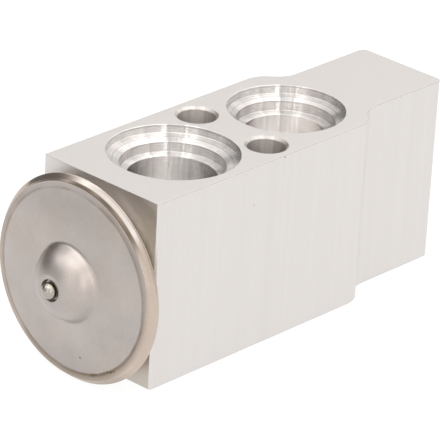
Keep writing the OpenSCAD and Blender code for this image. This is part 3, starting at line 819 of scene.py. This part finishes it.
def spring_half(name, first_turn, last_turn):
    """The spring from one of its turns to another."""
    bm = bmesh.new()
    count = (last_turn - first_turn) * SPRING_STEPS
    loops = [wire_loop(bm, first_turn + i / SPRING_STEPS) for i in range(count + 1)]
    bridge(bm, loops)
    cap_ends(bm, loops)
    obj = shade(finish_mesh(bm, name, [steel_mat]), SPRING_SHARP)
    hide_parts("superheat_spring")
    return obj


middle = SPRING_TURNS // 2
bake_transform(spring_half("spring_ball_half", 0, middle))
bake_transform(spring_half("spring_screw_half", middle, SPRING_TURNS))


# Finishes of the CAD pieces that show as they are

CAD_FINISHES = {
    "diaphragm": steel_mat, "element_gasket": rubber_mat, "diaphragm_pad": brass_mat,
    "sensing_rod": rod_mat, "push_pin": steel_mat, "rod_seal": rubber_mat, "seal_retainer": steel_mat,
    "valve_seat": brass_mat, "valve_ball": steel_mat, "ball_holder": steel_mat,
    "damping_ring": steel_mat, "adjusting_screw": brass_mat, "screw_seal": rubber_mat}

for name, mat in CAD_FINISHES.items():
    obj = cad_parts[name]
    obj.data.materials.clear()
    obj.data.materials.append(mat)
    for face in obj.data.polygons:
        face.use_smooth = True
    obj.data.set_sharp_from_angle(angle=math.radians(CAD_SHARP))


# Floor

def floor_material():
    """A white floor that glows, so that it stays white under the part."""
    m, g, shader = new_material("floor")
    g.feed_all(shader, {"Base Color": (0.12, 0.12, 0.12, 1), "Roughness": 0.9, "Specular IOR Level": 0.0,
                        "Emission Color": (1, 1, 1, 1), "Emission Strength": 0.93})
    return m


floor_bm = bmesh.new()
bmesh.ops.create_grid(floor_bm, x_segments=1, y_segments=1, size=FLOOR_HALF * MM)
floor = finish_mesh(floor_bm, "floor", [floor_material()])
floor.location.z = FLOOR_Z * MM


# Surroundings

# The camera's direction from the part, in degrees, and the edges of the gap between the softboxes
CAMERA_AZ, CAMERA_EL = -138.4, 25.0
GAP_RIGHT, GAP_LEFT, GAP_SOFT = 0.158, 0.132, 0.006


def spherical(az_deg, el_deg):
    az, el = math.radians(az_deg), math.radians(el_deg)
    return math.cos(az) * math.cos(el), math.sin(az) * math.cos(el), math.sin(el)


class Tent:
    """Masks over the directions of the world, with azimuths and elevations in degrees.

    Left and right of the gap are as the ports show them. The gap's edges all meet where the top
    faces mirror the camera, so that every turned wall shows it as one upright strip of one width.
    """

    def __init__(self, g):
        self.g = g
        direction = g.node("ShaderNodeTexCoord").outputs["Generated"]
        x, y, z = g.split(direction)
        self.azimuth = g.math("ARCTAN2", y, x)
        self.elevation = g.math("ARCSINE", z)
        across, ahead = (g.vector_math("DOT_PRODUCT", direction, spherical(az, 0), output="Value")
                         for az in (CAMERA_AZ + 90, CAMERA_AZ))
        self.ahead = g.add(ahead, math.cos(math.radians(CAMERA_EL)))
        self.slant = g.math("DIVIDE", across, g.math("MAXIMUM", self.ahead, 0.02))

    def height(self, start, stop):
        """0 at the elevation start and 1 at stop."""
        return self.g.span(self.elevation, math.radians(start), math.radians(stop))

    def above(self, elevation):
        return self.height(elevation - 5, elevation + 5)

    def sector(self, azimuth, half, soft, low, high, soft_height):
        """1 within half of the azimuth and between the elevations low and high."""
        g = self.g
        turn = g.math("WRAP", g.sub(self.azimuth, math.radians(azimuth)), math.pi, -math.pi)
        inside = g.span(g.math("ABSOLUTE", turn), math.radians(half + soft), math.radians(half))
        return g.mul(inside, self.height(high + soft_height, high), self.height(low - soft_height, low))

    def beyond(self, side, edge):
        """1 past an edge of the gap: side is 1 on the left and -1 on the right."""
        return self.g.span(self.g.mul(self.slant, side), edge - GAP_SOFT, edge + GAP_SOFT)

    def left_strip(self):
        """A narrow strip along the gap's left edge."""
        near = self.g.span(self.slant, GAP_LEFT + 0.1, GAP_LEFT + 0.05)
        return self.g.mul(self.beyond(1.0, GAP_LEFT), near)

    def right_strip(self):
        """A narrower strip just past the gap's right edge."""
        near = self.g.span(self.g.mul(self.slant, -1.0), GAP_RIGHT + 0.038, GAP_RIGHT + 0.022)
        return self.g.mul(self.beyond(-1.0, GAP_RIGHT + 0.006), near)


def panels(g, tent):
    """(brightness, mask) of each panel over the tent's 1.0. A later one covers those before it.

    low is the tent's wall behind the camera, which the ports' far walls mirror.
    """
    low = g.mul(g.span(tent.ahead, 1.25, 1.4), tent.above(-3))
    left, right = tent.beyond(1.0, GAP_LEFT), tent.beyond(-1.0, GAP_RIGHT)
    beside = g.add(right, left)
    return (
        # A dark card that the upper left of the head's rim and boss mirrors, then the wall and the roof
        (0.2, tent.sector(95, 26, 20, -12, 28, 14)),
        (1.08, low),
        (1.08, tent.height(38, 55)),
        # Softboxes on both sides of the gap: first for the upright walls, then for the tapered leads
        (1.35, g.mul(low, right)),
        (1.15, g.mul(low, left)),
        (1.5, g.mul(tent.above(38), right)),
        (1.6, g.mul(tent.above(30), left)),
        # Bright strips along the gap's edges
        (3.2, g.mul(tent.left_strip(), low, tent.height(44, 34))),
        (2.9, g.mul(tent.right_strip(), g.math("MAXIMUM", tent.above(30), low))),
        # Lights overhead and beyond the part, on both sides of the gap, for the ledges and broken edges
        (2.4, g.mul(beside, tent.height(58, 70))),
        (2.7, g.mul(beside, g.span(tent.ahead, 1.05, 0.85), tent.above(38))),
        # Panels for the ledges' right ends, the near edges, the top of the head and the boss's slope
        (1.15, tent.sector(90, 22, 14, 36, 62, 8)),
        (1.4, tent.sector(-40, 38, 15, -5, 50, 8)),
        (2.6, tent.sector(-165, 35, 12, 54, 80, 4)),
        (0.6, tent.sector(152, 14, 22, 4, 26, 12)))


def light_world():
    """A white tent with its panels. The metal mirrors it, and the camera sees none of it."""
    world = bpy.data.worlds.new("surroundings")
    bpy.context.scene.world = world
    world.use_nodes = True
    world.node_tree.nodes.clear()
    g = Graph(world.node_tree)
    strength = 1.0
    for brightness, mask in panels(g, Tent(g)):
        strength = g.add(strength, g.mul(g.sub(brightness, strength), mask))
    glow = g.node("ShaderNodeBackground")
    g.feed_all(glow, {"Color": (1.0, 0.985, 0.97, 1), "Strength": strength})
    g.feed(glow.outputs[0], g.node("ShaderNodeOutputWorld").inputs[0])


light_world()


# Camera, solved from the photograph

PHOTO_PX, FOCAL_PX, SENSOR = 440.0, 4098.809, 36.0
CAMERA_RIGHT = (0.681770852, -0.729503732, 0.054889072)
CAMERA_UP = (0.274808291, 0.324915961, 0.904936474)
CAMERA_BACK = (-0.677988870, -0.601875339, 0.421991905)
CAMERA_AT = (-0.478028330, -0.423002063, 0.314049271)

cam_data = bpy.data.cameras.new("camera")
cam_data.sensor_width = SENSOR
cam_data.sensor_fit = "HORIZONTAL"
cam_data.lens = FOCAL_PX * SENSOR / PHOTO_PX
cam_data.clip_start = 0.01
cam_data.clip_end = 10.0
camera = bpy.data.objects.new("camera", cam_data)
bpy.context.scene.collection.objects.link(camera)
rows = zip(CAMERA_RIGHT, CAMERA_UP, CAMERA_BACK, CAMERA_AT)
camera.matrix_world = Matrix((*rows, (0, 0, 0, 1)))
bpy.context.scene.camera = camera
bpy.context.scene.view_settings.view_transform = "Standard"
